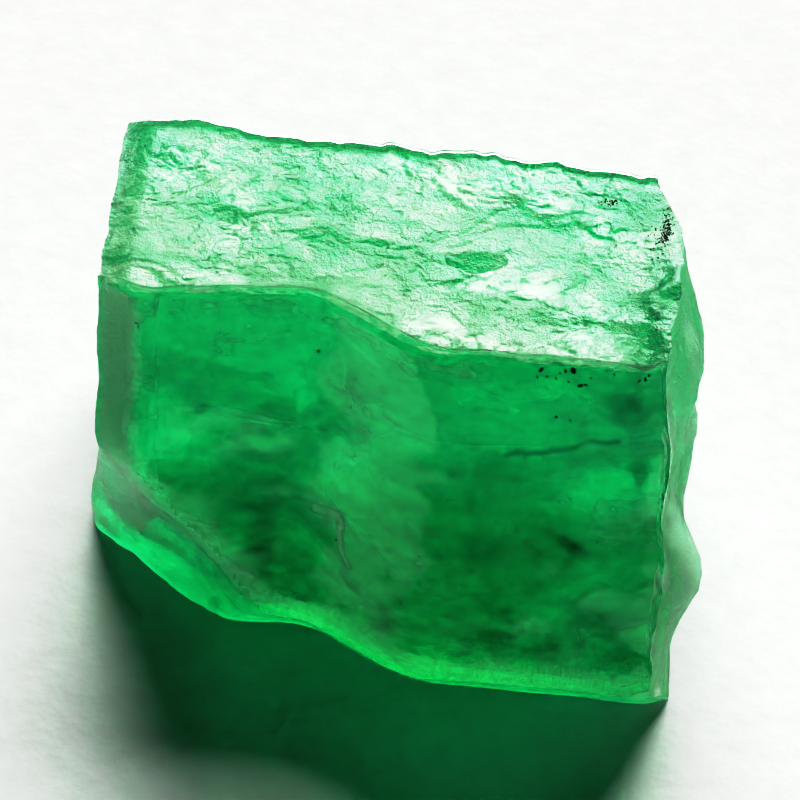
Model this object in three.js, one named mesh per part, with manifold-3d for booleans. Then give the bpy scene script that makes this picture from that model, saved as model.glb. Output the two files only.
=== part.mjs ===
// Raw emerald crystal: one six-sided prism of beryl, as it came out of the rock.
// It lies on one prism face. X runs along the crystal's c axis, from one end to the other, the smooth slanting
// face looks along -Y, and the etched, flaky face is on top. Millimetres, +Z up, and the origin is at the
// bottom centre.
import * as THREE from "three";
import { mergeVertices } from "three/addons/utils/BufferGeometryUtils.js";
import Module from "manifold-3d";

const wasm = await Module();
wasm.setup();

// Driving dimensions
const LENGTH = 12.5; // end to end along the c axis, without the bosses on the right end
const HEIGHT = 10.5; // from the face it rests on to the etched face on top
const TOP_FRONT = -1.75; // y of the edge between the etched top and the smooth front face
const TOP_BACK = 3.4; // y of the edge at the back of the etched top
const FRONT_RIDGE = 3.5; // height of the widest edge at the front
const BACK_RIDGE = 5.2; // height of the widest edge at the back
const SET_BACK = 1.15; // how far the left half of the front face stands behind the right half
const PRISM_SLOPE = Math.tan(Math.PI / 3); // neighbouring prism faces of beryl meet at 120 degrees

const EDGE_WEAR = 0.12; // rounding of the prism edges
const ETCH_DEPTH = 0.3; // height of the plates on the etched top
const PLATE_LENGTH = 1.6; // of one etched plate, along X
const PLATE_WIDTH = 0.6; // of one etched plate, along Y
const GROWTH_STEP = 0.06; // height of the growth steps on the other prism faces
const END_BREAK = 0.14; // roughness of the two broken ends

const STATIONS = 42; // rings of points along X
const SIDE_POINTS = [7, 13, 19, 11, 9, 10]; // points along each side, from the lower front face upwards
const CAP_RINGS = 8; // rings of points on each end
const SCOOP_DETAIL = 9; // facets of the round shapes that leave the chips

function hash(ix, iy, seed) {
  const s = Math.sin(ix * 127.1 + iy * 311.7 + seed * 74.7) * 43758.5453;
  return s - Math.floor(s);
}

// Smooth noise from -1 to 1, the same on every run
function noise(x, y, seed) {
  const ix = Math.floor(x);
  const iy = Math.floor(y);
  const fx = THREE.MathUtils.smoothstep(x - ix, 0, 1);
  const fy = THREE.MathUtils.smoothstep(y - iy, 0, 1);
  const low = THREE.MathUtils.lerp(hash(ix, iy, seed), hash(ix + 1, iy, seed), fx);
  const high = THREE.MathUtils.lerp(hash(ix, iy + 1, seed), hash(ix + 1, iy + 1, seed), fx);
  return THREE.MathUtils.lerp(low, high, fy) * 2 - 1;
}

function rise(from, to, x) {
  return THREE.MathUtils.smoothstep(x, from, to);
}

function hump(y, z, atY, atZ, wideY, wideZ) {
  return Math.exp(-(((y - atY) / wideY) ** 2) - ((z - atZ) / wideZ) ** 2);
}

// The six corners of the cross-section at x, from the bottom front edge round over the top. The front face
// is set back on its left half, where growth stopped earlier, and comes forward again towards the left end.
// The back edge of the top bulges a little near the left end and draws in at the right end.
function corners(x) {
  const setBack = SET_BACK * (1 - rise(-1.7, 1.5, x)) - 0.13 * Math.max(0, -1.9 - x);
  const front = TOP_FRONT + setBack + 0.15 * rise(4.5, 7, x);
  const back = TOP_BACK + 0.2 * hump(x, 0, -4.4, 0, 1, 1) - 0.2 * rise(4, 6.5, x);
  const ridgeFront = front - (HEIGHT - FRONT_RIDGE) / PRISM_SLOPE;
  const ridgeBack = back + (HEIGHT - BACK_RIDGE) / PRISM_SLOPE;
  return [
    new THREE.Vector2(ridgeFront + FRONT_RIDGE / PRISM_SLOPE, 0),
    new THREE.Vector2(ridgeFront, FRONT_RIDGE),
    new THREE.Vector2(front, HEIGHT),
    new THREE.Vector2(back, HEIGHT),
    new THREE.Vector2(ridgeBack, BACK_RIDGE),
    new THREE.Vector2(ridgeBack - BACK_RIDGE / PRISM_SLOPE, 0),
  ];
}

// x of each broken end at a place on the cross-section. The right end leans outwards towards the front ridge,
// swells in the middle, carries a rounded boss low at the front, and falls away at the back. The left end
// leans outwards towards its foot.
function rightEnd(y, z) {
  const lean = 0.05 * (HEIGHT - z) * (1 - rise(0, 4, y));
  const swell = 0.55 * hump(y, z, 0.2, 7.2, 1.7, 2.6);
  const boss = 0.8 * hump(y, z, -2.8, 4.2, 1.1, 1.8);
  const back = 0.5 * rise(1.2, 3.4, y) + 0.3 * rise(2, 5, y);
  return LENGTH / 2 + 0.08 + lean + swell + boss - back + END_BREAK * noise(y * 0.9, z * 0.7, 11);
}

function leftEnd(y, z) {
  const foot = 0.75 * (1 - rise(0, 7, z));
  const brow = 0.15 * rise(8, HEIGHT, z);
  return 0.32 - LENGTH / 2 - foot - brow + END_BREAK * noise(y * 0.8, z * 0.8, 23);
}

// Plates of the etched top: a noise stretched along X and cut into flat levels
function etched(x, y) {
  const wander = 0.6 * noise(x * 0.6, y * 1.3, 5);
  const n = noise(x / PLATE_LENGTH + wander, y / PLATE_WIDTH, 3) + 0.5 * noise(x * 1.6, y * 3.1, 4);
  return (ETCH_DEPTH / 3) * (Math.round(THREE.MathUtils.clamp(n, -1, 1) * 3) - 3) * 0.5;
}

// One point of the prism's side. side is 0 to 5 from the lower front face round, and along is 0 to 1 on it.
function sidePoint(t, side, along) {
  const x0 = (t - 0.5) * LENGTH;
  const ring = corners(x0);
  const from = ring[side];
  const to = ring[(side + 1) % 6];
  const outward = new THREE.Vector2(from.y - to.y, to.x - from.x).normalize();
  const p = from.clone().lerp(to, along);
  const inFace = rise(0, 0.1, along) * (1 - rise(0.9, 1, along));
  let relief = 0;
  if (side === 2) relief = etched(x0, p.x) * inFace;
  else if (side !== 5) relief = GROWTH_STEP * noise(x0 * 0.35, along * 9 + side * 7, 17) * inFace;
  p.addScaledVector(outward, relief - (side === 5 ? 0 : EDGE_WEAR * (1 - inFace)));
  const x = THREE.MathUtils.lerp(leftEnd(p.x, p.y), rightEnd(p.x, p.y), t);
  return new THREE.Vector3(x, p.x, Math.max(p.y, 0));
}

function ringPoints(t) {
  const points = [];
  SIDE_POINTS.forEach((count, side) => {
    for (let i = 0; i < count; i++) points.push(sidePoint(t, side, i / count));
  });
  return points;
}

// The points of an end: rings that shrink towards the middle of the cross-section, each on the broken surface
function capRings(edge, endX) {
  const middle = edge.reduce((sum, p) => sum.add(p), new THREE.Vector3()).divideScalar(edge.length);
  const shrink = (share) =>
    edge.map((p) => {
      const q = p.clone().lerp(middle, share);
      q.x = endX(q.y, q.z);
      return q;
    });
  const rings = [];
  for (let k = 1; k < CAP_RINGS; k++) rings.push(shrink(k / CAP_RINGS));
  middle.x = endX(middle.y, middle.z);
  return { rings, middle };
}

// The whole prism before anything was chipped off it, as one closed skin of rings
function prismGeometry() {
  const sides = [];
  for (let i = 0; i <= STATIONS; i++) sides.push(ringPoints(i / STATIONS));
  const left = capRings(sides[0], leftEnd);
  const right = capRings(sides[STATIONS], rightEnd);
  const rings = [...left.rings.reverse(), ...sides, ...right.rings];
  const count = sides[0].length;
  const positions = [...rings.flat(), left.middle, right.middle];

  const faces = [];
  for (let r = 0; r + 1 < rings.length; r++) {
    for (let j = 0; j < count; j++) {
      const a = r * count + j;
      const b = r * count + ((j + 1) % count);
      faces.push(a, a + count, b, b, a + count, b + count);
    }
  }
  const last = (rings.length - 1) * count;
  for (let j = 0; j < count; j++) {
    const k = (j + 1) % count;
    faces.push(positions.length - 2, j, k, positions.length - 1, last + k, last + j);
  }
  const geometry = new THREE.BufferGeometry().setFromPoints(positions);
  geometry.setIndex(faces);
  return geometry;
}

function toSolid(geometry) {
  geometry.deleteAttribute("normal");
  geometry.deleteAttribute("uv");
  const merged = mergeVertices(geometry, 1e-4);
  return new wasm.Manifold(
    new wasm.Mesh({
      numProp: 3,
      vertProperties: Float32Array.from(merged.attributes.position.array),
      triVerts: Uint32Array.from(merged.index.array),
    }),
  );
}

function toGeometry(solid) {
  const { vertProperties, triVerts } = solid.getMesh();
  const geometry = new THREE.BufferGeometry();
  geometry.setAttribute("position", new THREE.BufferAttribute(vertProperties, 3));
  geometry.setIndex(new THREE.BufferAttribute(triVerts, 1));
  geometry.computeVertexNormals();
  return geometry;
}

// Shell-shaped chips, broken off where the crystal was knocked: the deepest point of each, the way it faces,
// and the radius of its hollow
const CHIPS = [
  { at: [-4.87, -2.27, 2.93], facing: [-0.58, -0.81, -0.2], radius: 30 }, // low at the front left
  { at: [-6.0, 3.05, 10.3], facing: [-0.7, 0.35, 0.6], radius: 4 }, // top back left corner
  { at: [5.95, 3.0, 10.3], facing: [0.62, 0.5, 0.6], radius: 4 }, // top back right corner
  { at: [6.7, -5.45, 3.3], facing: [0.75, -0.5, -0.4], radius: 4 }, // front right corner
  { at: [2.2, 5.9, 5.0], facing: [0.2, 0.95, 0.1], radius: 5 }, // back ridge
  { at: [-5.6, 5.4, 5.4], facing: [-0.6, 0.75, 0.2], radius: 6 }, // back left corner
];

function scoop({ at, facing, radius }) {
  const outward = new THREE.Vector3(...facing).normalize();
  const centre = new THREE.Vector3(...at).addScaledVector(outward, radius);
  const ball = new THREE.IcosahedronGeometry(radius, SCOOP_DETAIL);
  return toSolid(ball.translate(centre.x, centre.y, centre.z));
}

function crystalGeometry() {
  const prism = toSolid(prismGeometry());
  const chipped = CHIPS.reduce((solid, chip) => solid.subtract(scoop(chip)), prism);
  const geometry = toGeometry(chipped);
  geometry.computeBoundingBox();
  const middle = geometry.boundingBox.getCenter(new THREE.Vector3());
  return geometry.translate(-middle.x, -middle.y, -geometry.boundingBox.min.z);
}

const emerald = new THREE.MeshStandardMaterial({ color: 0x2fa866, roughness: 0.35, metalness: 0 });
const crystal = new THREE.Mesh(crystalGeometry(), emerald);
crystal.name = "emerald_crystal";

const group = new THREE.Group();
group.add(crystal);

export default group;
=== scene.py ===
from math import cos, radians, sin

import bmesh
import bpy
import numpy as np
from mathutils import Matrix, Vector


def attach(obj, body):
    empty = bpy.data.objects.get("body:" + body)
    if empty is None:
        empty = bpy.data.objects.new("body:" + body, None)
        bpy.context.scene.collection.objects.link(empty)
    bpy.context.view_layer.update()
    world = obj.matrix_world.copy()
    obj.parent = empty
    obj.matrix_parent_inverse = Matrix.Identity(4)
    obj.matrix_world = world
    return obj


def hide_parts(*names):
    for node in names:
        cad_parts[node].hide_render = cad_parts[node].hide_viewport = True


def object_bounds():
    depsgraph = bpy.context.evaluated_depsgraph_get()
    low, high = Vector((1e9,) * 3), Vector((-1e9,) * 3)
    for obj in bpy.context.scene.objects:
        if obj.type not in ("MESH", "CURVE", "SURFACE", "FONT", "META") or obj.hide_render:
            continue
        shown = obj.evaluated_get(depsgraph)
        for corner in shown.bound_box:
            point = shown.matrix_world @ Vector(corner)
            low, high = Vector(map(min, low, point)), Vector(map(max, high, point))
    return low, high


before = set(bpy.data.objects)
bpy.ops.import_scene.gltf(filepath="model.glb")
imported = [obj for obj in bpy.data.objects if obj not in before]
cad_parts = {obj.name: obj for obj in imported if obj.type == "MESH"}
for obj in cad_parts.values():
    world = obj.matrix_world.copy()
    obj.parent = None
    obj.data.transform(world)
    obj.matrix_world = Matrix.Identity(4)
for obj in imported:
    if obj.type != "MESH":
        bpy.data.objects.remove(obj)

cad_low, cad_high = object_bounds()
MM = 0.001  # the CAD frame is in metres, and a crystal this small is easier to describe in millimetres

# ----------------------------------------------------------------------------------------------------------
# The crystal. One natural six-sided prism of beryl, lying on a prism face with its c axis along X. It is a
# single piece: the top is etched into thin plates, the front is a smooth growth face, both ends are broken
# across, and shell-shaped chips are missing from the corners.
# ----------------------------------------------------------------------------------------------------------
LENGTH = 12.5
HEIGHT = (cad_high.z - cad_low.z) / MM
TOP_FRONT, TOP_BACK = -1.75, 3.4
FRONT_RIDGE, BACK_RIDGE = 3.5, 5.2
SET_BACK = 1.15
PRISM_SLOPE = 3 ** 0.5  # neighbouring prism faces of beryl meet at 120 degrees

STATIONS = (70, 4)  # 70 parts along the crystal, and 4 in each of them
# The same round it, side by side from the lower front face upwards
SIDE_STRIPS = ((20,), (50,), (50, 3), (30,), (24,), (20,))


def rise(start, end, x):
    t = np.clip((np.asarray(x, float) - start) / (end - start), 0, 1)
    return t * t * (3 - 2 * t)


def hump(u, v, at_u, at_v, wide_u, wide_v):
    return np.exp(-(((u - at_u) / wide_u) ** 2) - ((v - at_v) / wide_v) ** 2)


def hashed(ix, iy, iz, seed):
    """A number from 0 to 1 for each whole-numbered place, the same on every run."""
    h = (
        ix.astype(np.int64) * 374761393
        + iy.astype(np.int64) * 668265263
        + iz.astype(np.int64) * 2147483647
        + seed * 1274126177
    ) & 0xFFFFFFFF
    h = ((h ^ (h >> 13)) * 1274126177) & 0xFFFFFFFF
    h = ((h ^ (h >> 16)) * 2246822519) & 0xFFFFFFFF
    return ((h ^ (h >> 15)) & 0xFFFFFF) / 0xFFFFFF


def noise(u, v, w, seed):
    """Smooth noise from -1 to 1."""
    u, v, w = np.broadcast_arrays(np.asarray(u, float), v, w)
    iu, iv, iw = np.floor(u), np.floor(v), np.floor(w)
    fu, fv, fw = rise(0, 1, u - iu), rise(0, 1, v - iv), rise(0, 1, w - iw)
    total = 0
    for du in (0, 1):
        for dv in (0, 1):
            for dw in (0, 1):
                share = (fu if du else 1 - fu) * (fv if dv else 1 - fv) * (fw if dw else 1 - fw)
                total = total + share * hashed(iu + du, iv + dv, iw + dw, seed)
    return total * 2 - 1


def rough_noise(u, v, w, seed, octaves=4):
    total, size = 0, 1
    for k in range(octaves):
        total = total + noise(u * 2 ** k, v * 2 ** k, w * 2 ** k, seed + k) * size
        size *= 0.5
    return total


def plates(u, v, seed):
    """Flat scales side by side: each place's own scale number, and how far it is from that scale's rim."""
    iu, iv = np.floor(u), np.floor(v)
    nearest = np.full(u.shape, 9.0)
    second = np.full(u.shape, 9.0)
    own = np.zeros(u.shape)
    for du in (-1, 0, 1):
        for dv in (-1, 0, 1):
            cu, cv = iu + du, iv + dv
            zero = np.zeros_like(cu)
            pu = cu + 0.15 + 0.7 * hashed(cu, cv, zero, seed)
            pv = cv + 0.15 + 0.7 * hashed(cu, cv, zero + 1, seed)
            d = np.hypot(u - pu, v - pv)
            closer = d < nearest
            second = np.where(closer, nearest, np.minimum(second, d))
            own = np.where(closer, hashed(cu, cv, zero + 2, seed), own)
            nearest = np.where(closer, d, nearest)
    return own, second - nearest


def corners(x):
    """The six corners of the cross-section at each x, from the bottom front edge round over the top."""
    set_back = SET_BACK * (1 - rise(-1.7, 1.5, x)) - 0.13 * np.maximum(0, -1.9 - x)
    front = TOP_FRONT + set_back + 0.15 * rise(4.5, 7, x)
    front = front + 0.05 * noise(x * 0.7, 0, 0, 31)
    front = front + 0.5 * (1 - rise(-6.2, -5.0, x)) + 0.14 * rise(5.75, 6.25, x)
    back = TOP_BACK + 0.2 * hump(x, 0, -4.4, 0, 1, 1) - 0.2 * rise(4, 6.5, x)
    ridge_front = front - (HEIGHT - FRONT_RIDGE) / PRISM_SLOPE
    ridge_back = back + (HEIGHT - BACK_RIDGE) / PRISM_SLOPE
    back = back + 0.07 * noise(x * 1.3, 0, 0, 33) + 0.05 * noise(x * 4.1, 0, 0, 34)
    ys = (
        ridge_front + FRONT_RIDGE / PRISM_SLOPE,
        ridge_front,
        front,
        back,
        ridge_back,
        ridge_back - BACK_RIDGE / PRISM_SLOPE,
    )
    zs = (0, FRONT_RIDGE, HEIGHT, HEIGHT, BACK_RIDGE, 0)
    return np.stack([np.stack([y, np.full_like(y, z)], -1) for y, z in zip(ys, zs)], 1)


def right_end(y, z):
    lean = 0.05 * (HEIGHT - z) * (1 - rise(0, 4, y))
    swell = 0.55 * hump(y, z, 0.2, 7.2, 1.7, 2.6)
    boss = 0.8 * hump(y, z, -2.8, 4.2, 1.1, 1.8)
    back = 0.5 * rise(1.2, 3.4, y) + 0.3 * rise(2, 5, y)
    broken = 0.12 * rough_noise(y * 0.9, z * 0.6, 0, 11, 5)
    return LENGTH / 2 + 0.08 + lean + swell + boss - back + broken


def left_end(y, z):
    foot = 0.75 * (1 - rise(0, 7, z))
    brow = 0.15 * rise(8, HEIGHT, z)
    broken = 0.08 * rough_noise(y * 0.8, z * 0.8, 0, 23, 5)
    return 0.32 - LENGTH / 2 - foot - brow + broken


# Patches of the top that lean to the front, or to the back where the slope is below zero
LEANING = (
    (-3.7, 1.4, 0.8, 0.4, 0.25),
    (-1.6, 1.7, 1.5, 0.45, 0.16),
    (-4.9, 2.4, 0.6, 0.5, 0.25),
    (-0.9, 0.9, 1.1, 0.3, 0.2),
    (3.2, 1.9, 0.9, 0.35, 0.2),
    (5.1, 2.6, 0.6, 0.35, 0.25),
    (5.95, -0.6, 0.3, 1.2, 0.35),
    (4.4, -0.75, 1.3, 0.25, 0.3),
    (-2.9, 0.2, 1.4, 0.7, -0.05),
    (2.0, -0.6, 1.6, 0.7, -0.05),
)


def etched(x, y):
    """Relief of the etched top: low terraces with curved edges, drawn out along the c axis, and crumbs."""
    u = x + 0.3 * rough_noise(x * 0.8, y * 1.3, 0, 41, 3)
    v = y + 0.2 * rough_noise(x * 1.1, y * 2.0, 0, 44, 4)
    steps = 2.4 * rough_noise(u * 0.4, v * 0.7, 0, 3, 3) + 0.6 * y
    level = np.floor(steps)
    terrace = 0.02 * (level + rise(0.85, 1, steps - level)) - 0.014 * y
    swell = 0.012 * rough_noise(u * 0.6, v * 0.9, 0, 81, 2)
    fine = 0.018 * rough_noise(u * 2.2, v * 4.0, 0, 83, 4)
    own, rim = plates(u / 0.34, v / 0.2, 7)
    crumbled = 0.2 + 0.8 * hump(x, y, -4.4, 1.4, 2.0, 1.3)
    crumbled += 0.5 * rise(0, 0.5, noise(x * 0.8, y * 1.2, 0, 87))
    crumbs = (0.03 * own - 0.012 * (1 - rise(0, 0.25, rim))) * crumbled + fine
    lean = 0
    for at_x, at_y, wide_x, wide_y, slope in LEANING:
        lean = lean + slope * (y - at_y) * hump(u, v, at_x, at_y, wide_x, wide_y)
    pit = rise(0.42, 0.6, hump(u, v, 1.75, 0.62, 0.55, 0.36)) * (0.07 - 0.25 * (y - 0.62))
    return terrace + swell + crumbs + lean - pit - 0.12


def face_relief(side, x, along, y, z):
    """How far each place on a side stands out of its flat face, in millimetres."""
    edge = np.where(side == 2, 0.02, 0.05)
    inner = rise(0, 1, along / edge) * (1 - rise(0, 1, 1 - (1 - along) / edge))
    worn = np.where(side == 2, -0.03, -0.07) * (1 - inner)
    top = etched(x, y) * (rise(0, 0.02, along) * (1 - rise(0.97, 1, along)))
    growth = 0.035 * rough_noise(x * 0.22, along * 6 + side * 7, 0, 17, 4)
    striae = 0.012 * noise(x * 0.5, along * 60 + side * 9, 0, 19)
    front = 0.03 * rough_noise(x * 0.35, along * 3, 0, 51, 4)
    relief = np.where(side == 2, top - 0.22 * (1 - rise(-6.25, -5.5, x)), (growth + striae) * inner)
    relief = np.where(side == 1, front * inner, relief)
    return np.where(side == 5, 0, relief + worn)


bpy.ops.object.select_all(action="DESELECT")
bpy.ops.mesh.primitive_cylinder_add(
    vertices=6,
    radius=1,
    depth=1,
    end_fill_type="NOTHING",
    location=(0.5, 0, 0),
    rotation=(0, radians(90), 0),
)
crystal = bpy.context.object
crystal.name = "emerald"
bpy.ops.object.transform_apply(location=True, rotation=True, scale=True)


def turn_of(y, z):
    """Where a place lies round the prism: 0 to 6, counting sides from the bottom front edge upwards."""
    return (np.degrees(-np.arctan2(z, y)) - 120) % 360 / 60


def select_edges(wanted):
    mesh = bmesh.from_edit_mesh(bpy.context.object.data)
    for part in (mesh.verts, mesh.edges, mesh.faces):
        for element in part:
            element.select = False
    for edge in mesh.edges:
        if wanted(*(v.co for v in edge.verts)):
            edge.select_set(True)
    bmesh.update_edit_mesh(bpy.context.object.data)


bpy.ops.object.mode_set(mode="EDIT")
bpy.ops.mesh.select_mode(type="EDGE")
for face, strips in enumerate(SIDE_STRIPS):
    for parts in strips:
        select_edges(lambda a, b: abs(a.x - b.x) < 1e-5 and int(turn_of(*((a + b) / 2).yz)) == face)
        bpy.ops.mesh.subdivide(number_cuts=parts - 1)
for parts in STATIONS:
    select_edges(lambda a, b: abs(a.x - b.x) > 1e-5)
    bpy.ops.mesh.subdivide(number_cuts=parts - 1)
bpy.ops.object.mode_set(mode="OBJECT")


def points_of(obj):
    flat = np.empty(len(obj.data.vertices) * 3)
    obj.data.vertices.foreach_get("co", flat)
    return flat.reshape(-1, 3)


def set_points(obj, points):
    obj.data.vertices.foreach_set("co", points.ravel())
    obj.data.update()


def plain_corner(number):
    """A corner of the plain six-sided prism, counted as turn_of counts."""
    angle = np.pi / 3 * (number - 1)
    return np.stack([-np.cos(angle), np.sin(angle)], -1)


# The plain prism takes the real one's cross-section, growth relief and broken ends
unit = points_of(crystal)
turn = turn_of(unit[:, 1], unit[:, 2])
turn = np.where(turn > 5.9999, 0, turn)
side = np.floor(turn + 1e-4).astype(int) % 6
from_corner, to_corner = plain_corner(side), plain_corner(side + 1)
along = ((unit[:, 1:] - from_corner) * (to_corner - from_corner)).sum(1)
along = np.clip(along, 0, 1)
x_plain = (unit[:, 0] - 0.5) * LENGTH
outline = corners(x_plain)
rows = np.arange(len(unit))
here, there = outline[rows, side], outline[rows, (side + 1) % 6]
yz = here + (there - here) * along[:, None]
outward = np.stack([here[:, 1] - there[:, 1], there[:, 0] - here[:, 0]], -1)
outward /= np.linalg.norm(outward, axis=1)[:, None]
yz += outward * face_relief(side, x_plain, along, yz[:, 0], yz[:, 1])[:, None]
ends = left_end(yz[:, 0], yz[:, 1]), right_end(yz[:, 0], yz[:, 1])
x_real = ends[0] + (ends[1] - ends[0]) * unit[:, 0]
set_points(crystal, np.column_stack([x_real, yz[:, 0], np.maximum(yz[:, 1], 0)]))

# Both ends are closed with rings of faces that shrink to the middle, which then take the broken surface
END_RINGS = 18
side_count = len(crystal.data.vertices)
for at_end in (0, 1):
    bpy.ops.object.mode_set(mode="EDIT")
    bpy.ops.mesh.select_all(action="DESELECT")
    mesh = bmesh.from_edit_mesh(crystal.data)
    mesh.verts.ensure_lookup_table()
    for edge in mesh.edges:
        at = [unit[v.index, 0] if v.index < side_count else 0.5 for v in edge.verts]
        if edge.is_boundary and max(abs(a - at_end) for a in at) < 1e-4:
            edge.select_set(True)
    bmesh.update_edit_mesh(crystal.data)
    for ring in range(END_RINGS, 1, -1):
        shrink = (ring - 1) / ring  # so that the rings are evenly spaced
        bpy.ops.mesh.extrude_edges_move()
        bpy.ops.transform.resize(value=(1, shrink, shrink), center_override=(0, 0.6, HEIGHT / 2))
    bpy.ops.mesh.merge(type="CENTER")
    bpy.ops.object.mode_set(mode="OBJECT")
points = points_of(crystal)
caps = np.arange(len(points)) >= side_count
is_right = caps & (points[:, 0] > 0)
is_left = caps & (points[:, 0] < 0)
points[is_right, 0] = right_end(points[is_right, 1], points[is_right, 2])
points[is_left, 0] = left_end(points[is_left, 1], points[is_left, 2])
set_points(crystal, points)

# How frosted each place is, from clear growth faces to the etched and broken ones. It drives the roughness.
FROST = (0.45, 0.10, 0.36, 0.45, 0.45, 0.6)  # the six sides, from the lower front face upwards
BROKEN_FROST, CHIP_FROST = 0.45, 0.3
LEFT_BEVEL = -5.35  # the crystal is broken and rough to the left of this


def set_frost(obj, values):
    layer = obj.data.attributes.new("frost", "FLOAT", "POINT")
    layer.data.foreach_set("value", np.asarray(values, np.float32))


frost = np.full(len(points), BROKEN_FROST)
frost[:side_count] = np.asarray(FROST)[side]
patchy = 0.13 * rough_noise(points[:, 0] * 0.9, points[:, 1] * 1.8, 0, 141, 5)
frost[:side_count] += np.where(side == 2, patchy[:side_count], 0)

# The large chip at the lower left front has a worn rim, so the surface is pressed in to it and rounds over
CHIP_AT, CHIP_HOLLOW, CHIP_RIM = np.array((-4.87, -2.27, 2.93)), 30, 0.16
CHIP_FACING = np.array((-0.574, -0.801, -0.198)) / np.linalg.norm((0.574, 0.801, 0.198))


def over_chip(points):
    """How far out of the large chip's surface each point is."""
    out = (points - CHIP_AT) @ CHIP_FACING
    away = np.linalg.norm(points - CHIP_AT - out[:, None] * CHIP_FACING, axis=1)
    ripple = 0.03 * np.sin(away * 4 + 2 * rough_noise(points[:, 0], points[:, 2], 0, 61, 2))
    ripple += 0.07 * rough_noise(points[:, 0] * 0.6, points[:, 2] * 0.8, 0, 65, 5)
    return out - away ** 2 / (2 * CHIP_HOLLOW) + ripple


points = points_of(crystal)
over = over_chip(points)
pressed = CHIP_RIM * np.logaddexp(0, over / CHIP_RIM)
pressed[over < -5 * CHIP_RIM] = 0
set_points(crystal, points - pressed[:, None] * CHIP_FACING)
frost[over > 0] = CHIP_FROST
frost[points_of(crystal)[:, 0] < LEFT_BEVEL] = BROKEN_FROST
set_frost(crystal, frost)

# Small chips: a curved, rippled tool takes each one off. at is its deepest point, facing the way it looks,
# hollow the radius of its hollow, and width how wide the tool is.
CHIPS = (
    ((-6.0, 3.05, 10.3), (-0.7, 0.35, 0.6), 4, 5),
    ((5.95, 3.0, 10.3), (0.62, 0.5, 0.6), 4, 5),
    ((6.7, -5.45, 3.3), (0.75, -0.5, -0.4), 4, 5),
)
for number, (at, facing, hollow, width) in enumerate(CHIPS):
    bpy.ops.object.select_all(action="DESELECT")
    bpy.ops.mesh.primitive_grid_add(x_subdivisions=width * 8, y_subdivisions=width * 8, size=width)
    tool = bpy.context.object
    shell = points_of(tool)
    away = np.hypot(shell[:, 0], shell[:, 1])
    from_blow = np.hypot(shell[:, 0] - width * 0.3, shell[:, 1] - width * 0.2)
    ripple = 0.02 * np.sin(from_blow * 5 + 2 * rough_noise(shell[:, 0], shell[:, 1], 0, 61 + number, 2))
    shell[:, 2] = away ** 2 / (2 * hollow) + ripple
    shell[:, 2] += 0.05 * rough_noise(shell[:, 0] * 0.7, shell[:, 1] * 0.7, 0, 71 + number, 5)
    set_points(tool, shell)
    set_frost(tool, np.full(len(shell), CHIP_FROST))
    bpy.ops.object.mode_set(mode="EDIT")
    bpy.ops.mesh.select_all(action="SELECT")
    bpy.ops.mesh.extrude_region_move(TRANSFORM_OT_translate={"value": (0, 0, 6)})
    bpy.ops.mesh.select_all(action="SELECT")
    bpy.ops.mesh.normals_make_consistent(inside=False)
    bpy.ops.object.mode_set(mode="OBJECT")
    tool.matrix_world = Matrix.Translation(at) @ Vector(facing).to_track_quat("Z", "Y").to_matrix().to_4x4()
    bpy.context.view_layer.objects.active = crystal
    cut = crystal.modifiers.new("chip", "BOOLEAN")
    cut.operation = "DIFFERENCE"
    cut.solver = "MANIFOLD"
    cut.object = tool
    bpy.ops.object.modifier_apply(modifier="chip")
    bpy.data.objects.remove(tool)

# The crystal stands where the CAD solid does: same middle, and the same resting face
points = points_of(crystal)
middle = (points.min(0) + points.max(0)) / 2
place = np.array((cad_low + cad_high) / 2) / MM - middle
place[2] = cad_low.z / MM - points[:, 2].min()


def in_frame(point):
    return Vector((np.asarray(point, float) + place) * MM)


set_points(crystal, (points + place) * MM)
bpy.ops.object.select_all(action="DESELECT")
crystal.select_set(True)
bpy.context.view_layer.objects.active = crystal
bpy.ops.object.shade_smooth_by_angle(angle=radians(32))
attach(crystal, "root")
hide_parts("emerald_crystal")


def colour(hex_value):
    """An sRGB hex colour as linear numbers with alpha."""
    parts = [int(hex_value[i : i + 2], 16) / 255 for i in (1, 3, 5)]
    linear = [c / 12.92 if c <= 0.04045 else ((c + 0.055) / 1.055) ** 2.4 for c in parts]
    return (*linear, 1)


def add_node(tree, kind, settings=None, **inputs):
    """Adds a node, sets its settings and inputs, and links the inputs given as sockets."""
    node = tree.nodes.new(kind)
    for name, value in (settings or {}).items():
        setattr(node, name, value)
    for name, value in inputs.items():
        key = int(name[1:]) if name[0] == "i" and name[1:].isdigit() else name.replace("_", " ")
        if isinstance(value, bpy.types.NodeSocket):
            tree.links.new(value, node.inputs[key])
        else:
            node.inputs[key].default_value = value
    return node


def new_material(name):
    material = bpy.data.materials.new(name)
    material.use_nodes = True
    material.node_tree.nodes.clear()
    return material, material.node_tree


# Beryl coloured green by chromium: clear and glassy, refractive index 1.58. It takes away red light first
emerald, tree = new_material("beryl_emerald")
crystal_places = add_node(tree, "ShaderNodeTexCoord")
millimetres = add_node(
    tree, "ShaderNodeMapping", Vector=crystal_places.outputs["Object"], Scale=(1 / MM, 1 / MM, 1 / MM)
).outputs["Vector"]
frosting = add_node(tree, "ShaderNodeAttribute", {"attribute_name": "frost"}).outputs["Fac"]
ETCH_CRUMBS = 12.0  # per millimetre, on rough places only. The real ones are finer, and wouldn't show
grain = add_node(
    tree, "ShaderNodeTexNoise", Vector=millimetres, Scale=ETCH_CRUMBS, Detail=2.0, Roughness=0.7
)
rough_only = add_node(
    tree, "ShaderNodeMapRange", Value=frosting, From_Min=0.12, From_Max=0.32
).outputs["Result"]
bump = add_node(
    tree,
    "ShaderNodeBump",
    Strength=rough_only,
    Distance=0.03 * MM,
    Height=grain.outputs["Fac"],
)
BERYL_IOR = 1.58
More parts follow.
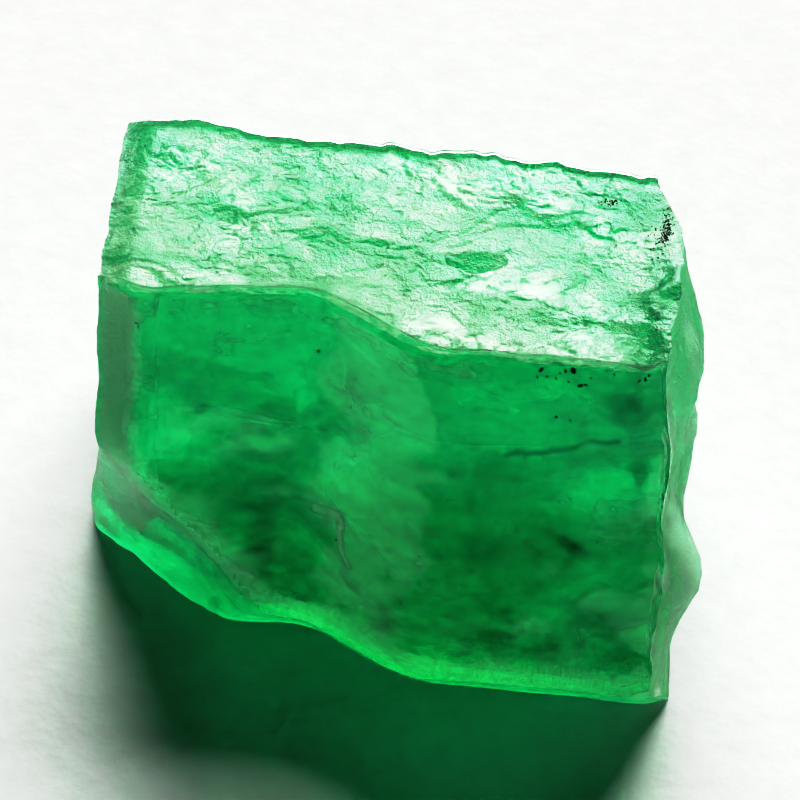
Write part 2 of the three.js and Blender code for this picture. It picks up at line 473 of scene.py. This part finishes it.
surface = add_node(
    tree,
    "ShaderNodeBsdfPrincipled",
    Base_Color=colour("#F6FFF0"),
    Roughness=frosting,
    IOR=BERYL_IOR,
    Transmission_Weight=1.0,
    Normal=bump.outputs["Normal"],
)
ABSORPTION = 600.0  # per metre
green = add_node(tree, "ShaderNodeVolumeAbsorption", Density=ABSORPTION, Color=(0.23, 0.93, 0.82, 1))
add_node(
    tree,
    "ShaderNodeOutputMaterial",
    Surface=surface.outputs["BSDF"],
    Volume=green.outputs["Volume"],
)
crystal.data.materials.clear()
crystal.data.materials.append(emerald)

# ----------------------------------------------------------------------------------------------------------
# Healed fractures. Films of tiny fluid drops that were sealed in while the crystal grew. They lie across it
# in wavy, patchy sheets and are what makes the inside glow.
# ----------------------------------------------------------------------------------------------------------
def front_at(x, z):
    outline = corners(x)
    low = outline[:, 1, 0] + (FRONT_RIDGE - z) / PRISM_SLOPE
    high = outline[:, 2, 0] - (HEIGHT - z) / PRISM_SLOPE
    return np.where(z < FRONT_RIDGE, low, high)


def back_at(x, z):
    outline = corners(x)
    low = outline[:, 4, 0] - (BACK_RIDGE - z) / PRISM_SLOPE
    high = outline[:, 3, 0] + (HEIGHT - z) / PRISM_SLOPE
    return np.where(z < BACK_RIDGE, low, high)


def add_sheet(name, across, deep, shape):
    """A grid whose points are put in place by shape, which gets how far each is across and deep, 0 to 1."""
    bpy.ops.object.select_all(action="DESELECT")
    bpy.ops.mesh.primitive_grid_add(x_subdivisions=across, y_subdivisions=deep, size=1)
    sheet = bpy.context.object
    sheet.name = name
    flat = points_of(sheet) + 0.5
    placed = shape(flat[:, 0], flat[:, 1])
    pressed = CHIP_RIM * np.logaddexp(0, (over_chip(placed) + 0.14) / CHIP_RIM)
    placed = placed - pressed[:, None] * CHIP_FACING
    set_points(sheet, (placed + place) * MM)
    bpy.ops.object.shade_smooth()
    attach(sheet, "root")
    return sheet


def film_material(name, tint, onward_share=0.5):
    """A film that stops as much light at each point as its cover says, and scatters that both ways."""
    material, tree = new_material(name)
    cover = add_node(tree, "ShaderNodeAttribute", {"attribute_name": "cover"}).outputs["Fac"]
    back = add_node(tree, "ShaderNodeBsdfDiffuse", Color=colour(tint)).outputs[0]
    onwards = add_node(tree, "ShaderNodeBsdfTranslucent", Color=colour(tint)).outputs[0]
    scattered = add_node(tree, "ShaderNodeMixShader", i0=onward_share, i1=back, i2=onwards).outputs[0]
    clear = add_node(tree, "ShaderNodeBsdfTransparent").outputs[0]
    mixed = add_node(tree, "ShaderNodeMixShader", i0=cover, i1=clear, i2=scattered).outputs[0]
    add_node(tree, "ShaderNodeOutputMaterial", Surface=mixed)
    return material


def set_cover(sheet, values):
    cover = sheet.data.attributes.new("cover", "FLOAT", "POINT")
    cover.data.foreach_set("value", np.clip(values, 0, 0.95).astype(np.float32))


FRACTURE_INSET = 0.95, 0.45  # from the front and from the back


def lying_across(number, height, tilt, wave):
    def shape(across, deep):
        x = -5.9 + 12.2 * across
        z = height + tilt * (deep - 0.5) + wave * rough_noise(across * 3, deep * 3, number, 90 + number, 3)
        z = np.clip(z, 0.4, 9.5)
        front, back = front_at(x, z) + FRACTURE_INSET[0], back_at(x, z) - FRACTURE_INSET[1]
        return np.column_stack([x, front + (back - front) * deep, z])

    return shape


# The fluid drops are too fine to show one by one, so the film has their milky white. On the etched top the
# same film also paints the sheen of the lamp.
fluid_and_sheen_film = film_material("fluid_and_sheen_film", "#F2F8EE")
# Height, tilt, waviness and how much it covers
FRACTURES = ((8.3, 0.9, 0.5, 0.6), (6.3, -1.2, 0.7, 1.3), (4.3, 1.2, 0.8, 1.1), (2.2, -0.6, 0.6, 1.1))
for number, (height, tilt, wave, thick) in enumerate(FRACTURES):
    film = add_sheet(f"healed_fracture_{number + 1}", 150, 90, lying_across(number, height, tilt, wave))
    spots = points_of(film) / MM - place
    patch = rough_noise(spots[:, 0] * 0.4, spots[:, 1] * 0.6, number, 120 + number, 6)
    from_front = spots[:, 1] - front_at(spots[:, 0], spots[:, 2]) - FRACTURE_INSET[0]
    from_rim = np.minimum(from_front, spots[:, 0] + 5.9)
    set_cover(film, thick * (0.16 + 0.5 * rise(-0.6, 1.2, patch)) * rise(0, 0.5, from_rim))
    film.data.materials.append(fluid_and_sheen_film)

# ----------------------------------------------------------------------------------------------------------
# Clouds behind the front face. Two films follow it: a pale one of fluid drops, dense along the left bevel
# and the chip, and a deeper dark sheet of painted shade, darker towards the bottom, with the crack in it.
# ----------------------------------------------------------------------------------------------------------
def near_line(x, down, line, width):
    """1 on a line through the points given, falling to 0 away from it."""
    best = np.full(np.shape(x), 99.0)
    for (x1, d1), (x2, d2) in zip(line, line[1:]):
        long = (x2 - x1) ** 2 + (d2 - d1) ** 2
        t = np.clip(((x - x1) * (x2 - x1) + (down - d1) * (d2 - d1)) / long, 0, 1)
        best = np.minimum(best, np.hypot(x - x1 - t * (x2 - x1), down - d1 - t * (d2 - d1)))
    return np.exp(-((best / width) ** 2))


def pale_clouds(x, down):
    wx = x + 0.25 * rough_noise(x * 0.9, down * 1.2, 0, 201, 4)
    wd = down + 0.2 * rough_noise(x * 0.7, down * 1.5, 0, 205, 4)
    flow = 0.5 + 0.5 * rough_noise(x * 0.55, down * 1.6, 0, 211, 5)
    grain = 0.75 + 0.35 * rough_noise(x * 2.5, down * 4, 0, 217, 4)
    upright = 0.5 + 0.6 * rough_noise(x * 4.5, down * 0.6, 0, 221, 4)
    cloud = 0.10 * flow
    cloud += 0.2 * hump(wx, wd, -0.5, 2.6, 0.9, 1.0)
    cloud += 0.22 * hump(wx, wd, -3.3, 1.3, 1.7, 0.6) + 0.20 * hump(wx, wd, 0.6, 1.0, 1.2, 0.5)
    cloud += 0.5 * hump(wx, wd, 5.7, 3.75, 0.85, 0.6) + 0.25 * hump(wx, wd, 4.9, 3.2, 0.6, 0.3)
    cloud += 0.18 * hump(wx, wd, 1.4, 5.6, 0.9, 0.9) + 0.15 * hump(wx, wd, 5.0, 6.6, 0.5, 1.0)
    chamfer = near_line(wx, wd, ((-5.6, 5.0), (-5.0, 6.0), (-4.0, 6.8), (-2.6, 7.6)), 0.65)
    cloud += 1.1 * chamfer * (1 - 0.6 * rise(-4.2, -2.6, x))
    left_of_step = 1 - rise(-4.75, -4.68, x - 0.03 * down)
    below_step = rise(5.68, 5.74, down - 0.05 * x) * (x < -3.1)
    cloud += 0.16 * np.maximum(left_of_step, below_step)
    cloud += (1.1 + 0.9 * upright) * (1 - rise(-5.5, -4.9, x)) + 0.12 * upright * rise(5.7, 6.0, x)
    cloud += 0.5 * hump(wx, wd, -5.34, 1.8, 0.13, 0.9) + 0.6 * hump(wx, wd, -5.4, 4.2, 0.16, 0.6)
    arc = ((-5.0, 0.30), (-3.2, 0.50), (-1.7, 0.36), (-0.3, 0.5), (1.3, 0.5), (2.4, 0.68))
    cloud += 0.28 * near_line(wx, wd, arc, 0.14) + 0.4 * near_line(x, down, ((1.3, 0.5), (2.2, 0.66)), 0.08)
    cloud *= grain
    cloud += 0.16 * np.maximum(rough_noise(x * 3, down * 6, 0, 225, 4), 0)
    cloud += 0.22 * near_line(x, down, ((-4.72, 0.3), (-4.51, 5.7)), 0.03)
    cloud += 0.22 * near_line(x, down, ((-4.51, 5.7), (-3.2, 5.84)), 0.04)
    wisp = ((-1.0, 5.05), (-0.5, 5.12), (-0.4, 5.6), (-0.3, 5.95), (-0.13, 6.25))
    cloud += 0.7 * near_line(x + 0.6 * (wx - x), wd, wisp, 0.08) * (0.6 + 0.4 * grain)
    cloud += 0.35 * near_line(x, down, ((-2.65, 7.02), (-2.4, 7.1)), 0.07)
    return np.clip(cloud * rise(0.22, 0.34, down), 0, 0.9)


# Painted shade: a dark sheet that darkens the front face in patches and more towards the bottom. The crack
# drawn in it is a real crack.
def painted_shade_patches(x, down):
    wx = x + 0.35 * rough_noise(x * 0.9, down * 1.2, 0, 231, 4)
    wd = down + 0.25 * rough_noise(x * 0.8, down * 1.5, 0, 235, 4)
    grain = 0.7 + 0.45 * rough_noise(x * 1.6, down * 3.2, 0, 239, 5)
    dark = 0.25 * hump(wx, wd, -3.9, 2.4, 0.6, 0.45) + 0.3 * hump(wx, wd, -2.6, 4.1, 0.7, 0.8)
    dark += 0.45 * hump(wx, wd, -2.0, 5.7, 0.5, 0.8) + 0.8 * hump(wx, wd, 4.5, 4.6, 0.5, 0.3)
    dark += 0.4 * hump(wx, wd, 5.6, 1.1, 0.5, 0.7) + 0.1 * hump(wx, wd, 4.8, 2.2, 1.0, 0.35)
    dark += 0.4 * hump(wx, wd, -1.6, 7.0, 1.2, 0.6) + 0.4 * hump(wx, wd, 1.5, 7.0, 1.3, 0.5)
    dark += 0.4 * hump(wx, wd, 4.2, 6.8, 2.0, 0.6) + 0.3 * hump(wx, wd, 2.6, 4.8, 1.6, 0.6)
    dark += 0.16 * rise(4.0, 6.5, down) + 0.09 * np.maximum(rough_noise(x * 1.3, down * 2.8, 0, 247, 5), 0)
    dark *= grain
    crack = ((3.0, 2.5), (3.6, 2.3), (4.2, 2.16), (4.8, 1.95), (5.4, 1.82))
    dark += 0.45 * near_line(x, down + 0.07 * rough_noise(x * 2.5, 0, 0, 243, 3), crack, 0.05)
    return np.clip(dark * rise(0.22, 0.5, down), 0, 0.92)


def behind_front(depth):
    def lying(across, deep):
        down = 0.22 + 7.68 * deep
        z = HEIGHT - down * cos(radians(30)) - depth / 2
        rough_x = -6 + 12.4 * across
        y = front_at(rough_x, z + depth / 2) + depth * cos(radians(30))
        left, right = left_end(y, z) + 0.13, right_end(y, z) - 0.13
        x = left + (right - left) * across
        y = front_at(x, z + depth / 2) + depth * cos(radians(30))
        return np.column_stack([x, y, z])

    return lying


# Name, depth, tint and clouds. Beryl takes red light away on the way in and out, so a pale film lies shallow
CLOUDS = (
    ("pale_cloud", 0.13, "#F6FAF2", pale_clouds),
    # The dark film is painted shade
    ("painted_shade_sheet", 0.7, "#05301A", painted_shade_patches),
)
for name, depth, tint, clouds in CLOUDS:
    film = add_sheet(name, 250, 160, behind_front(depth))
    spots = points_of(film) / MM - place
    down = (HEIGHT - spots[:, 2] - depth / 2) / cos(radians(30)) - depth * 0.29
    set_cover(film, clouds(spots[:, 0], down))
    film.data.materials.append(film_material(name + "_film", tint, 0.4))

# ----------------------------------------------------------------------------------------------------------
# Etched skin and painted sheen. Acid in the rock opened fine cleavage cracks just under the top: a pale film
# that follows its terraces and flakes, whiter in some plates than in others. Part of its white is painted
# sheen of the lamp: whiter where the top leans back toward the lamp, thinner where it leans to the front,
# with painted glints on small plates.
# ----------------------------------------------------------------------------------------------------------
def under_top(across, deep):
    x = -6 + 12.1 * across
    front, back = front_at(x, 10.2) + 0.12, back_at(x, 10.2) - 0.3
    y = front + (back - front) * deep
    left, right = left_end(y, 10.2) + 0.13, right_end(y, 10.2) - 0.13
    x = left + (right - left) * across
    z = HEIGHT + etched(x, y) - 0.22 * (1 - rise(-6.25, -5.5, x)) - 0.12
    return np.column_stack([x, y, z])


film = add_sheet("etched_skin_and_sheen", 320, 140, under_top)
spots = points_of(film) / MM - place
x, y = spots[:, 0], spots[:, 1]
u = x + 0.3 * rough_noise(x * 0.8, y * 1.3, 0, 41, 3)
v = y + 0.2 * rough_noise(x * 1.1, y * 2.0, 0, 44, 4)
whole = plates(u / 0.9, v / 0.42, 13)[0]
small = plates(u / 0.3, v / 0.15, 17)[0]
broad = rough_noise(u * 0.5, v * 0.9, 0, 151, 3)
fine = rough_noise(u * 2.5, v * 5.0, 0, 155, 4)
white = 0.6 * broad + 0.8 * fine + 0.5 * (whole - 0.5) + 0.6 * (small - 0.5)
# Painted glints: white dots on some small plates that stand in for sparkle of the lamp
painted_glints = rise(0.8, 0.95, small) * (fine > 0)
cover = 0.1 - 0.16 * rise(0.5, 4, x) + 0.62 * rise(-0.75, 0.6, white) + 0.3 * painted_glints
# Painted sheen and shade: less white where a patch leans to the front, away from the lamp, and more where it
# leans back
for at_x, at_y, wide_x, wide_y, slope in LEANING:
    cover -= 1.6 * slope * hump(u, v, at_x, at_y, wide_x, wide_y)
cover += 0.3 * hump(x, y, -4.3, 3.2, 0.8, 0.35)
cover *= 1 - 0.95 * rise(5.5, 5.75, x) * (1 - rise(1.0, 1.6, y))
cover *= 1 - 0.95 * rise(0.42, 0.6, hump(u, v, 1.75, 0.62, 0.55, 0.36))
# It stops short of the chips at the two back corners
for corner_x in (-6.0, 5.95):
    cover *= rise(0.7, 1.1, np.hypot(x - corner_x, y - 3.0))
set_cover(film, np.clip(cover, 0, 0.9))
film.data.materials.append(fluid_and_sheen_film)

# ----------------------------------------------------------------------------------------------------------
# Crushed ends. Both ends broke across the c axis, and the crystal just under the break is full of white
# stress cracks: a pale film close behind each end.
# ----------------------------------------------------------------------------------------------------------
def behind_end(end, inwards, end_x):
    def shape(across, deep):
        z = 0.25 + 9.7 * deep
        x = np.full_like(z, end_x)
        front, back = front_at(x, z) + 0.15, back_at(x, z) - 0.35
        y = front + (back - front) * across
        ruffle = 1.8 + 0.5 * rough_noise(y * 2.6, z * 2.2, 0, 309, 2)
        return np.column_stack([end(y, z) + inwards * ruffle, y, z])

    return shape


# Fresh cracks are full of air, so they send most of the light straight back
crushed_film = film_material("crushed_film", "#FBFDF8", 0.2)
ENDS = (("left_cracks", left_end, 0.12, -5.9), ("right_cracks", right_end, -0.12, 6.1))
for name, end, inwards, end_x in ENDS:
    film = add_sheet(name, 120, 180, behind_end(end, inwards, end_x))
    spots = points_of(film) / MM - place
    crushed = rough_noise(spots[:, 1] * 1.2, spots[:, 2] * 0.7, 0, 301, 6)
    upright = rough_noise(spots[:, 1] * 5, spots[:, 2] * 0.6, 0, 305, 4)
    boss = hump(spots[:, 1], spots[:, 2], -2.8, 4.2, 1.1, 1.8)
    broken_through = 0.85 if end is left_end else 0.3 + 0.5 * boss
    set_cover(film, broken_through + 0.6 * crushed + 0.4 * upright)
    film.data.materials.append(crushed_film)

# ----------------------------------------------------------------------------------------------------------
# Black specks. Flakes of mica and graphite caught under the front edge of the top, and dark dirt rubbed into
# the top right corner. Small flattened lumps, joined into one piece each.
# ----------------------------------------------------------------------------------------------------------
mica, tree = new_material("black_mica")
flake = add_node(tree, "ShaderNodeBsdfPrincipled", Base_Color=colour("#0B120D"), Roughness=0.5)
add_node(tree, "ShaderNodeOutputMaterial", Surface=flake.outputs["BSDF"])

chance = np.random.default_rng(7)
# x, how far down the front face, and size
SPECKS = (
    (3.65, 0.37, 0.075), (4.33, 0.33, 0.08), (4.51, 0.66, 0.07), (4.17, 0.36, 0.03), (4.62, 0.62, 0.03),
    (3.78, 0.52, 0.025), (3.98, 0.55, 0.025), (4.25, 0.6, 0.03), (4.05, 0.42, 0.02), (5.75, 0.42, 0.04),
    (5.86, 0.38, 0.05), (5.93, 0.32, 0.04), (5.2, 0.3, 0.025), (4.05, 1.45, 0.03), (4.35, 1.5, 0.035),
    (4.72, 0.45, 0.02), (3.58, 0.55, 0.02), (-5.13, 0.9, 0.04), (-5.08, 0.98, 0.03), (-1.2, 1.44, 0.03),
    (-0.55, 5.7, 0.02), (2.6, 2.0, 0.015), (1.2, 3.4, 0.015), (0.4, 6.3, 0.015), (3.4, 5.6, 0.018),
)
# A row of them along the right edge of the top: x, y and size
CHAIN = (
    (5.97, -0.05, 0.03), (5.96, -0.2, 0.035), (5.98, -0.33, 0.03), (5.94, -0.5, 0.03), (6.0, -0.62, 0.03),
)
places = []
for x, down, size in SPECKS:
    z = HEIGHT - down * cos(radians(30)) - 0.06
    places.append(((x, float(front_at(np.array([x]), np.array([z]))[0]) + 0.1, z), size))
for x, y, size in CHAIN:
    places.append(((x, y, HEIGHT - 0.28), size))


def add_grains(name, places, material):
    """Flattened, turned lumps at the places given, joined into one piece."""
    lumps = []
    for at, size in places:
        bpy.ops.mesh.primitive_ico_sphere_add(subdivisions=2, radius=size * MM, location=in_frame(at))
        lump = bpy.context.object
        lump.rotation_euler = chance.uniform(0, 6.28, 3)
        lump.scale = (1.3, 0.9, 0.45)
        lumps.append(lump)
    bpy.ops.object.select_all(action="DESELECT")
    for lump in lumps:
        lump.select_set(True)
    bpy.context.view_layer.objects.active = lumps[0]
    bpy.ops.object.join()
    bpy.ops.object.transform_apply(location=True, rotation=True, scale=True)
    grains = bpy.context.object
    grains.name = name
    rough = points_of(grains)
    rough += chance.normal(0, 0.004 * MM, rough.shape)
    set_points(grains, rough)
    grains.data.materials.append(material)
    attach(grains, "root")
    return grains


add_grains("black_specks", places, mica)

soil, tree = new_material("dark_soil")
crumb = add_node(tree, "ShaderNodeBsdfPrincipled", Base_Color=colour("#2C3A2E"), Roughness=0.9)
add_node(tree, "ShaderNodeOutputMaterial", Surface=crumb.outputs["BSDF"])
places = []
SMEARS = ((5.95, 1.9, 0.06, 0.26, 130), (5.8, 1.75, 0.16, 0.35, 40), (4.67, 2.5, 0.14, 0.05, 30))
for at_x, at_y, wide_x, wide_y, count in SMEARS:
    for x, y in chance.normal((at_x, at_y), (wide_x, wide_y), (count, 2)):
        above = in_frame((x, y, HEIGHT + 1))
        found, where, facing, index = crystal.ray_cast(above, Vector((0, 0, -1)))
        if found:
            places.append((np.array(where) / MM - place, chance.uniform(0.008, 0.024)))
add_grains("soil_grains", places, soil)

# ----------------------------------------------------------------------------------------------------------
# The stage: a sheet of white paper, soft studio light from behind, and the camera looking down at the front.
# ----------------------------------------------------------------------------------------------------------
bpy.ops.object.select_all(action="DESELECT")
bpy.ops.mesh.primitive_plane_add(size=3, location=(0, 0, cad_low.z - 0.02 * MM))
floor = bpy.context.object
floor.name = "paper"
paper, tree = new_material("white_paper")
paper_places = add_node(tree, "ShaderNodeTexCoord")
FIBRE_CLOT = MM / 1.5  # the paper's fibres lie in clots about this wide
fibres = add_node(
    tree, "ShaderNodeTexNoise", Vector=paper_places.outputs["Object"], Scale=1 / FIBRE_CLOT, Detail=5.0
)
bump = add_node(tree, "ShaderNodeBump", Strength=0.5, Distance=0.06 * MM, Height=fibres.outputs["Fac"])
tone = add_node(
    tree,
    "ShaderNodeMix",
    {"data_type": "RGBA"},
    Factor=fibres.outputs["Fac"],
    i6=colour("#C1C4C5"),
    i7=colour("#D0D3D5"),
).outputs[2]
paper_finish = add_node(
    tree,
    "ShaderNodeBsdfPrincipled",
    Base_Color=tone,
    Roughness=0.9,
    Normal=bump.outputs["Normal"],
)
add_node(tree, "ShaderNodeOutputMaterial", Surface=paper_finish.outputs["BSDF"])
floor.data.materials.append(paper)

scene = bpy.context.scene
world = bpy.data.worlds.new("studio")
scene.world = world
world.use_nodes = True
tree = world.node_tree
tree.nodes.clear()
seen = add_node(tree, "ShaderNodeLightPath").outputs["Is Camera Ray"]
dim = add_node(tree, "ShaderNodeBackground", Color=colour("#E8F0EC"), Strength=0.035)
pale = add_node(tree, "ShaderNodeBackground", Color=colour("#F4F6F5"), Strength=0.95)
walls = add_node(tree, "ShaderNodeMixShader", i0=seen, i1=dim.outputs[0], i2=pale.outputs[0])
add_node(tree, "ShaderNodeOutputWorld", Surface=walls.outputs[0])

sun = bpy.data.lights.new("window", "SUN")
sun.angle = radians(48)
sun.energy = 7.4
sun.color = (1, 0.985, 0.94)
window = bpy.data.objects.new("window", sun)
WINDOW_AZIMUTH, WINDOW_ELEVATION = radians(175), radians(44)
towards_window = Vector(
    (
        sin(WINDOW_AZIMUTH) * cos(WINDOW_ELEVATION),
        -cos(WINDOW_AZIMUTH) * cos(WINDOW_ELEVATION),
        sin(WINDOW_ELEVATION),
    )
)
window.rotation_mode = "QUATERNION"
window.rotation_quaternion = towards_window.to_track_quat("Z", "Y")
scene.collection.objects.link(window)

lens = bpy.data.cameras.new("camera")
lens.sensor_width = 36
lens.lens = 243.7
lens.clip_start = 0.001
camera = bpy.data.objects.new("camera", lens)
scene.collection.objects.link(camera)
scene.camera = camera
CAMERA_AZIMUTH, CAMERA_ELEVATION, CAMERA_DISTANCE = radians(7), radians(56), 120
aim = np.array((0.40, 0, 5.65))
towards_camera = np.array(
    (
        sin(CAMERA_AZIMUTH) * cos(CAMERA_ELEVATION),
        -cos(CAMERA_AZIMUTH) * cos(CAMERA_ELEVATION),
        sin(CAMERA_ELEVATION),
    )
)
camera.location = in_frame(aim + towards_camera * CAMERA_DISTANCE)
camera.rotation_mode = "QUATERNION"
camera.rotation_quaternion = Vector(towards_camera).to_track_quat("Z", "Y")

scene.view_settings.view_transform = "Standard"
scene.view_settings.use_curve_mapping = True
tones = scene.view_settings.curve_mapping
for dark, light in ((0.1, 0.025), (0.29, 0.16), (0.477, 0.45), (0.66, 0.762), (0.837, 0.88)):
    tones.curves[3].points.new(dark, light)
tones.curves[3].points[-1].location = (1, 0.965)
tones.update()
scene.cycles.use_denoising = True
scene.cycles.max_bounces = 9
scene.cycles.transmission_bounces = 9
scene.cycles.glossy_bounces = 5
scene.cycles.diffuse_bounces = 4
scene.cycles.use_adaptive_sampling = True
scene.cycles.adaptive_threshold = 0.08
scene.cycles.adaptive_min_samples = 12
scene.cycles.transparent_max_bounces = 10
